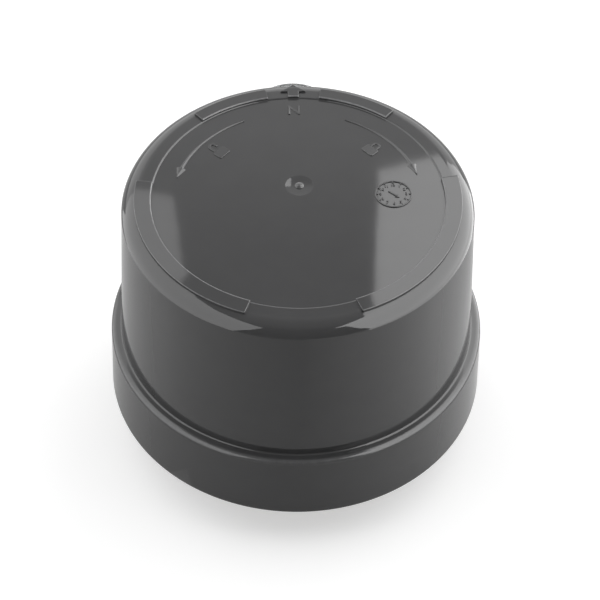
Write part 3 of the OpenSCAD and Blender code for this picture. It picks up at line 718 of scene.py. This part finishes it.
def joined(name, pieces, finish):
    """Several pieces made into one mesh."""
    one = bmesh.new()
    for piece in pieces:
        one.from_mesh(piece.data)
        bpy.data.objects.remove(piece)
    return settle(piece_from(name, one, finish), 30)


lug_section = section_curve("lug_section", [(0.3, 1.1), (0.3, 3.4), (-0.85, 3.4), (-0.85, 2.85)])
lug_arc = 22
lug_pairs = [run_tree("lugs", sweep, section=lug_section, radius=skirt_in * MM, level=0.0,
                      start=math.radians(turn - lug_arc / 2), sweep=math.radians(lug_arc), steps=24,
                      finish=cover_grey) for turn in (45, 135)]
bpy.data.objects.remove(lug_section)
place(joined("snap_lugs", lug_pairs, cover_grey))

# %% [markdown]
# ## North arrow and the gate's stub
# The short arrow on the ring points to the window: it is a drawn outline that is pulled up and rounded.
# The stub in the dimple is where the plastic was fed into the mould: it is a small spun dome. Each is made
# once and has no rule to follow, so plain mesh code is the short way.

# %% North arrow and stub


def raised_outline(name, outline, low, high, finish, rounds):
    """A flat outline in mm pulled up between two levels, with rounded edges."""
    flat = bmesh.new()
    face = flat.faces.new([flat.verts.new((x * MM, y * MM, low * MM)) for x, y in outline])
    up = bmesh.ops.extrude_face_region(flat, geom=[face])
    bmesh.ops.translate(flat, verts=[v for v in up["geom"] if isinstance(v, bmesh.types.BMVert)],
                        vec=(0, 0, (high - low) * MM))
    bmesh.ops.recalc_face_normals(flat, faces=flat.faces)
    piece = piece_from(name, flat, finish)
    round_edges(piece, rounds)
    return keep_flats(piece)


shaft_half, head_half, neck_y, tip_y = 1.2, 2.85, disc_r + 1.7, disc_r + 3.9
right_half = [(shaft_half, disc_r - 0.01), (shaft_half, neck_y), (head_half, neck_y)]
left_half = [(-x, y) for x, y in reversed(right_half)]
arrow_outline = left_half[-1:] + right_half + [(0, tip_y)] + left_half[:-1]
north = raised_outline("north_arrow", arrow_outline, disc_z - 0.5, top_z + 0.42, cover_grey, rounds=0.13)
place(north)
stub_r, stub_high, stub_low_z = 1.0, 0.22, dish_z - 0.3
stub_line = [(stub_r * i / 10, dish_z + 0.1 + stub_high * (1 - (i / 10) ** 2)) for i in range(11)]
stub_line += [(stub_r, stub_low_z), (0, stub_low_z)]
stub = piece_from("gate_stub", spun(stub_line, 48, center=(gate_x, gate_y)), sign_grey)
place(settle(stub, 40))

# %% [markdown]
# ## Raised signs on the disc
# Low signs stand 0.2 mm proud of the disc. A letter marks north, a shut and an open padlock tell the two
# twist arrows apart, and a moulder's date dial with plain numbers sits on the east side. Letters and
# numbers are text that is made a mesh; the padlocks are outlines; the dial's ticks repeat round a circle,
# so nodes place them.

# %% Letter
sign_low, sign_high = disc_z - 0.2, disc_z + 0.2


def raised_text(name, words, size_mm, center, high=sign_high, weight=0.0, soft=0.03):
    """Words as a raised mesh, centred on a point of the disc, with soft edges and a stroke weight in mm."""
    letters = bpy.data.curves.new(name, "FONT")
    letters.body = words
    letters.size = size_mm * MM
    letters.align_x = "CENTER"
    letters.align_y = "CENTER"
    letters.extrude = ((high - sign_low) / 2 - soft) * MM
    letters.offset = weight * MM
    letters.bevel_depth = soft * MM
    letters.bevel_resolution = 2
    text = add_object(name, letters)
    shape = plain_mesh(text)
    bpy.data.objects.remove(text)
    shape.transform(Matrix.Translation(Vector((*center, (high + sign_low) / 2)) * MM))
    shape.materials.clear()
    shape.materials.append(sign_grey)
    return add_object(name, shape)


letter = raised_text("north_letter", "N", 4.0, (0, 27.4), weight=-0.12, soft=0.19)
place(settle(letter, 30))

# %% Padlocks


def turned(points, turn):
    """Points turned clockwise by an angle in degrees."""
    t = math.radians(turn)
    return [(x * math.cos(t) + y * math.sin(t), y * math.cos(t) - x * math.sin(t)) for x, y in points]


def padlock(name, radius, turn, lift):
    """A padlock sign with its top outwards; lift raises its shackle, so that one leg stands clear."""
    corner_x, corner_y, corner_r = 1.2, 0.75, 0.4
    body = []
    for side, end, start in ((1, 1, 0), (-1, 1, 90), (-1, -1, 180), (1, -1, 270)):
        body += arc_points((side * corner_x, end * corner_y), corner_r, start, start + 90, 3)
    outer_r, inner_r, body_top, legs = 1.0, 0.5, 0.9, 1.0 + lift
    arch_y = legs + 0.85
    free_leg = legs + 0.2 if lift else body_top
    shackle = [(outer_r, free_leg)] + arc_points((0, arch_y), outer_r, 0, 180, 12)
    shackle += [(-outer_r, body_top), (-inner_r, body_top)]
    shackle += arc_points((0, arch_y), inner_r, 180, 0, 12) + [(inner_r, free_leg)]
    parts = []
    for outline, rounds in ((body, 0.1), (shackle, 0.09)):
        on_disc = turned([(x, y + radius) for x, y in outline], turn)
        parts.append(raised_outline(name, on_disc, sign_low, sign_high, sign_grey, rounds))
    return joined(name, parts, sign_grey)


place(padlock("shut_padlock", radius=21.6, turn=48, lift=0))
place(padlock("open_padlock", radius=21.6, turn=-48, lift=0.8))

# %% Tree: ticks round a dial
ticks_tree, given, end = new_group("dial_ticks", "GeometryNodeTree",
                                   {"Count": "Int", "Radius": "Float", "Tick size": "Vector",
                                    "Center": "Vector", "Finish": "Material"}, {"Geometry": "Geometry"})
dial = {"Vertices": given["Count"], "Radius": given["Radius"]}
circle = add_node(ticks_tree, "GeometryNodeMeshCircle", dial)[0]
tick = add_node(ticks_tree, "GeometryNodeMeshCube", {"Size": given["Tick size"]})["Mesh"]
outwards = {"Vector": add_node(ticks_tree, "GeometryNodeInputPosition")[0]}
facing = add_node(ticks_tree, "FunctionNodeAlignRotationToVector", outwards, axis="X")[0]
copies = {"Points": circle, "Instance": tick, "Rotation": facing}
around = add_node(ticks_tree, "GeometryNodeInstanceOnPoints", copies)[0]
shift = add_node(ticks_tree, "GeometryNodeTransform", {"Geometry": around, "Translation": given["Center"]})
end_tree(ticks_tree, shift[0], given["Finish"], end)

# %% Date dial
dial_x, dial_y, dial_r, ring_wide, number_r, tick_r = 20.3, 0.9, 4.0, 0.35, 2.75, 3.5
ticks = run_tree("dial_ticks", ticks_tree, count=12, radius=tick_r * MM,
                 tick_size=(0.45 * MM, 0.16 * MM, 0.4 * MM),
                 center=(dial_x * MM, dial_y * MM, disc_z * MM), finish=sign_grey)
numbers = []
for hour in range(1, 13):
    [(x, y)] = turned([(0, number_r)], 30 * hour)
    numbers.append(raised_text("dial_number", str(hour), 0.95, (dial_x + x, dial_y + y), disc_z + 0.18))
ring_in = dial_r - ring_wide
ring_corners = [(ring_in, sign_low), (ring_in, sign_high), (dial_r, sign_high), (dial_r, sign_low)]
ring_line = rounded_line(ring_corners, [0.07, 0.07], hold=0.02, steps=4)
ring = piece_from("dial_ring", spun(ring_line, 72, closed=True, center=(dial_x, dial_y)), sign_grey)
hand = [(-0.16, -1.3), (0.16, -1.3), (0.16, 0.7), (0.5, 0.7), (0, 1.6), (-0.5, 0.7), (-0.16, 0.7)]
hand = [(dial_x + x, dial_y + y) for x, y in turned(hand, 130)]
pointer = raised_outline("dial_pointer", hand, sign_low, sign_high, sign_grey, rounds=0.05)
place(joined("date_dial", [ring, ticks, pointer] + numbers, sign_grey))

# %% [markdown]
# ## Base plate, gasket, blades and rivets
# Seen from below, the switch has a black base plate, a soft ring that seals against the socket, and three
# hooked brass blades on rivets. Their solids have the right shapes, but perfectly sharp edges, which no
# moulding or stamping has. So a copy of each is welded, its flat faces are joined again, and a small bevel
# rounds its edges. The base is moulded with a duller grain than the cover.

# %% Base plate


def soften(node, name, finish, slot, width_mm, steps=3):
    """Places a copy of a solid's mesh with its flat faces joined and its edges rounded."""
    copy = bmesh.new()
    copy.from_mesh(nodes[node].data)
    bmesh.ops.remove_doubles(copy, verts=copy.verts, dist=2e-6)
    bmesh.ops.dissolve_limit(copy, angle_limit=math.radians(0.3), verts=copy.verts, edges=copy.edges)
    for face in copy.faces:
        face.material_index = 0
    piece = piece_from(name, copy, finish)
    round_edges(piece, width_mm, steps, over=35)
    place(settle(piece, 30), slot, node)


base_black = moulded_plastic("base_black", (0.016, 0.016, 0.017), (0.024, 0.024, 0.025), gloss=0.32, dull=0.5,
                             relief_mm=0.02, grain_scale=1600.0, wave_share=0.3)
soften("base_plate", "base_moulding", base_black, "base_plastic", 0.2)

# %% Gasket foam
foam, tree, shader = new_finish("gasket_foam")
at = object_place(tree)
pores = add_node(tree, "ShaderNodeTexVoronoi", {"Scale": 1400, "Vector": at})["Distance"]
pore_depth_and_shade = ramp(tree, pores, 0.1, 0.55, 0, 1)
shade = noise_node(tree, at, 220.0, 3.0)
foam_colour = blend(tree, shade, (0.020, 0.021, 0.021), (0.034, 0.035, 0.035))
# Pores are painted near black as shade in their hollows, and the same mask sinks them in the bump.
cover_with(tree, shader, blend(tree, pore_depth_and_shade, (0.008, 0.008, 0.008), foam_colour),
           ramp(tree, shade, 0.3, 0.7, 0.82, 0.95), pore_depth_and_shade, 0.15)
soften("base_gasket", "gasket_ring", foam, "gasket_foam", 0.35, 4)

# %% Brass for the blades and rivets


def brass(name, bright, tarnish, line_scale):
    """Drawn brass: fine lines along the part, with tarnished spots that are duller."""
    finish, tree, shader = new_finish(name, {"Metallic": 1})
    at = object_place(tree)
    stretch = {"Vector": at, "Scale": (line_scale, line_scale, 60)}
    lines = noise_node(tree, add_node(tree, "ShaderNodeMapping", stretch)[0], 1.0, 4.0, 0.7)
    spots = ramp(tree, noise_node(tree, at, 260.0, 4.0, 0.6), 0.42, 0.72, 0, 0.5)
    worn = maths(tree, "ADD", ramp(tree, lines, 0.25, 0.75, 0.18, 0.32), ramp(tree, spots, 0, 0.5, 0, 0.1))
    cover_with(tree, shader, blend(tree, spots, bright, tarnish), worn, lines, 0.001)
    return finish


def dress_node(node, finish):
    """A solid that keeps its own mesh gets a finish in every slot."""
    data = nodes[node].data
    data.materials.clear()
    data.materials.append(finish)
    for face in data.polygons:
        face.material_index = 0
    print(node, "wears", finish.name)


blade_brass = brass("blade_brass", (0.82, 0.62, 0.30), (0.52, 0.35, 0.15), 2600.0)
for blade in ("neutral_blade", "line_blade", "load_blade"):
    soften(blade, blade + "_stamping", blade_brass, "blade_brass", 0.16)
dress_node("blade_rivets", brass("rivet_brass", (0.78, 0.57, 0.27), (0.5, 0.33, 0.14), 900.0))

# %% [markdown]
# ## Sensor window
# The window is a clear moulding: a round front that stands out of the wall, closed at its top and bottom.
# A see-through mix would show what is inside but bend no light, so the clear plastic is a transmitting
# shader with a light smoky tint, and its roughness has faint moulding haze in it.

# %% Sensor window


def hazy(name, first, second, gloss, dull, depth_mm=0.02, scale=500.0, detail=4.0, fixed=None):
    """A finish with faint cloudy changes of colour, gloss and height."""
    finish, tree, shader = new_finish(name, fixed)
    cloud = noise_node(tree, object_place(tree), scale, detail)
    colour = blend(tree, cloud, first, second)
    cover_with(tree, shader, colour, ramp(tree, cloud, 0.3, 0.7, gloss, dull), cloud, depth_mm)
    return finish


clear = hazy("clear_window", (0.64, 0.66, 0.67), (0.7, 0.72, 0.73), 0.03, 0.09, 0.01, 320.0, 3.0,
             {"Transmission Weight": 1, "IOR": 1.49})
soften("window_lens", "window_clear", clear, "clear_plastic", 0.22)

# %% [markdown]
# ## Circuit board and its parts
# Through the window one sees the sensor on its holder and, dimly, the board. The parts keep their CAD
# shapes, with rounded copies where a moulding or a dipped coat has soft edges. Their finishes are drawn by
# position: a band on a diode and the stripe on a can are stretches of x, and a lead is what lies outside
# the body's stretch.

# %% Board and screws


def part_of(tree, axis, low_mm, high_mm):
    """1 where a coordinate lies between two values in mm, else 0."""
    value = parts_of(tree, object_place(tree))[axis]
    over = maths(tree, "GREATER_THAN", value, low_mm * MM)
    return maths(tree, "MULTIPLY", over, maths(tree, "LESS_THAN", value, high_mm * MM))


laminate, tree, shader = new_finish("board_laminate")
at = object_place(tree)
spot = parts_of(tree, at)
bricks = {"Scale": 900, "Mortar Size": 0.03, "Vector": at}
weave = add_node(tree, "ShaderNodeTexBrick", bricks)["Fac"]
mask_shade = noise_node(tree, at, 140.0, 3.0)
green = blend(tree, mask_shade, (0.018, 0.12, 0.045), (0.03, 0.17, 0.065))
board_rim_r, board_low_z, board_high_z = 31.85, 15.95, 17.25
near_rim = maths(tree, "GREATER_THAN", length_of(tree, spot["X"], spot["Y"]), board_rim_r * MM)
cut_edge = maths(tree, "MULTIPLY", part_of(tree, "Z", board_low_z, board_high_z), near_rim)
cover_with(tree, shader, blend(tree, cut_edge, green, (0.42, 0.34, 0.16)),
           ramp(tree, mask_shade, 0.3, 0.7, 0.25, 0.42), weave, 0.01)
soften("circuit_board", "board_panel", laminate, "board_laminate", 0.1, 2)
zinc = hazy("screw_zinc", (0.55, 0.56, 0.58), (0.7, 0.7, 0.7), 0.22, 0.42, 0.01, 700.0,
            fixed={"Metallic": 1})
dress_node("board_screws", zinc)

# %% Relay, varistor and capacitors


def paint_over(finish, *layers):
    """Paints stretches of an axis: each has its axis, two limits in mm and a colour."""
    tree = finish.node_tree
    base = tree.nodes["Principled BSDF"].inputs["Base Color"]
    colour = base.links[0].from_socket
    for axis, low, high, paint in layers:
        colour = blend(tree, part_of(tree, axis, low, high), colour, paint)
    tree.links.new(colour, base)


def middle_of(node):
    """The middle of a solid's box in mm."""
    low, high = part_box(node)
    return (low + high) / 2 / MM


relay_black = moulded_plastic("relay_black", (0.014, 0.015, 0.016), (0.022, 0.023, 0.025), gloss=0.25,
                              dull=0.4, relief_mm=0.015, grain_scale=1800.0)
soften("relay", "relay_case", relay_black, "relay_case", 0.5, 4)
blue = hazy("varistor_blue", (0.03, 0.09, 0.30), (0.04, 0.12, 0.36), 0.25, 0.45, 0.08, 300.0)
soften("varistor", "varistor_disc", blue, "varistor_coat", 0.8, 5)
yellow = hazy("dropper_yellow", (0.62, 0.42, 0.05), (0.7, 0.5, 0.08), 0.28, 0.42, 0.03, 400.0)
soften("dropper_capacitor", "dropper_case", yellow, "capacitor_case", 0.3)
sleeve = hazy("can_sleeve", (0.015, 0.02, 0.06), (0.022, 0.028, 0.08), 0.25, 0.4, 0.015, 600.0)
can_x, can_top = middle_of("smoothing_capacitor").x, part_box("smoothing_capacitor")[1].z / MM
stripe_from, stripe_to, cap_deep, beyond = 6, 3.6, 0.45, 1
paint_over(sleeve, ("X", can_x - stripe_from, can_x - stripe_to, (0.55, 0.57, 0.6)),
           ("Z", can_top - cap_deep, can_top + beyond, (0.7, 0.7, 0.7)))
soften("smoothing_capacitor", "smoothing_can", sleeve, "can_sleeve", 0.15, 2)

# %% Sensor and its holder
holder_black = moulded_plastic("holder_black", (0.012, 0.012, 0.013), (0.018, 0.018, 0.019), gloss=0.35,
                               dull=0.5, relief_mm=0.02, grain_scale=1500.0)
soften("sensor_holder", "sensor_holder_moulding", holder_black, "holder_plastic", 0.2)
cell, tree, shader = new_finish("cell_track")
cell_at, cell_front = middle_of("photocell"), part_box("photocell")[1].y / MM
row_high, run_half, turn_half, rows_half = 0.62, 1.35, 1.7, 1.55
face_deep, leads_from, far_behind = 0.25, 2.3, -100


def on_cell(operation, *values):
    """A math node in the sensor's tree."""
    return maths(cell.node_tree, operation, *values)


spot = parts_of(tree, object_place(tree))
aside = on_cell("SUBTRACT", spot["X"], cell_at.x * MM)
height = on_cell("SUBTRACT", spot["Z"], cell_at.z * MM)
rows_up = on_cell("DIVIDE", height, row_high * MM)
in_run = on_cell("LESS_THAN", on_cell("FRACT", rows_up), 0.45)
half_rows = on_cell("FRACT", on_cell("MULTIPLY", on_cell("FLOOR", rows_up), 0.5))
turn_side = on_cell("SUBTRACT", 1.0, on_cell("MULTIPLY", on_cell("GREATER_THAN", half_rows, 0.25), 2.0))
in_turn = on_cell("GREATER_THAN", on_cell("MULTIPLY", aside, turn_side), run_half * MM)
in_width = on_cell("LESS_THAN", on_cell("ABSOLUTE", aside), turn_half * MM)
in_height = on_cell("LESS_THAN", on_cell("ABSOLUTE", height), rows_half * MM)
track = on_cell("MULTIPLY", on_cell("MAXIMUM", in_run, in_turn), on_cell("MULTIPLY", in_width, in_height))
face_tint = blend(tree, track, (0.62, 0.5, 0.32), (0.45, 0.12, 0.05))
front = part_of(tree, "Y", cell_front - face_deep, cell_front + beyond)
ceramic = blend(tree, front, (0.62, 0.56, 0.45), face_tint)
cover_with(tree, shader, ceramic, ramp(tree, track, 0, 1, 0.22, 0.4), track, 0.05)
paint_over(cell, ("Y", far_behind, cell_front - leads_from, (0.7, 0.7, 0.68)))
dress_node("photocell", cell)

# %% Small parts on leads


def add_metal_leads(finish, axis, low_mm, high_mm):
    """Outside a stretch of one axis the part is a tinned lead."""
    tree = finish.node_tree
    inputs = tree.nodes["Principled BSDF"].inputs
    body = part_of(tree, axis, low_mm, high_mm)
    colour = inputs["Base Color"].links[0].from_socket
    tree.links.new(blend(tree, body, (0.72, 0.72, 0.7), colour), inputs["Base Color"])
    tree.links.new(maths(tree, "SUBTRACT", 1.0, body), inputs["Metallic"])


diode = hazy("diode_black", (0.012, 0.012, 0.013), (0.02, 0.02, 0.021), 0.3, 0.45)
zener = hazy("zener_glass", (0.45, 0.13, 0.04), (0.55, 0.18, 0.06), 0.06, 0.14)
resistor = hazy("resistor_coat", (0.16, 0.27, 0.36), (0.2, 0.32, 0.42), 0.3, 0.5, 0.05)
code = [(-2.9, 0.35, (0.35, 0.14, 0.04)), (-1.7, 0.35, (0.01, 0.01, 0.01)), (-0.5, 0.35, (0.5, 0.06, 0.03)),
        (2.6, 0.35, (0.55, 0.4, 0.1))]
for node, finish, body_half, bands in (
        ("rectifier_diodes", diode, 2.6, [(1.65, 0.35, (0.6, 0.6, 0.6))]),
        ("zener_diode", zener, 2.1, [(1.35, 0.25, (0.01, 0.01, 0.01))]),
        ("dropper_resistors", resistor, 4, code)):
    x = middle_of(node).x
    layers = [("X", x + offset - half, x + offset + half, paint) for offset, half, paint in bands]
    paint_over(finish, *layers)
    add_metal_leads(finish, "X", x - body_half, x + body_half)
    dress_node(node, finish)
transistor = hazy("transistor_black", (0.012, 0.012, 0.012), (0.02, 0.02, 0.02), 0.35, 0.5)
case_low_z, case_high_z = 19.75, 40
add_metal_leads(transistor, "Z", case_low_z, case_high_z)
dress_node("drive_transistor", transistor)

# %% Insulated wires
for node, colour, dusty in (("neutral_wire", (0.66, 0.65, 0.6), (0.74, 0.73, 0.69)),
                            ("line_wire", (0.014, 0.014, 0.015), (0.024, 0.024, 0.025)),
                            ("load_wire", (0.36, 0.035, 0.025), (0.44, 0.05, 0.035))):
    dress_node(node, hazy(node + "_insulation", colour, dusty, 0.3, 0.45, 0.03))

# %% [markdown]
# ## Finish
# Every piece rides on the part's body. The cell prints how many finishes there are.

# %% Finish
print("finishes:", len(bpy.data.materials))
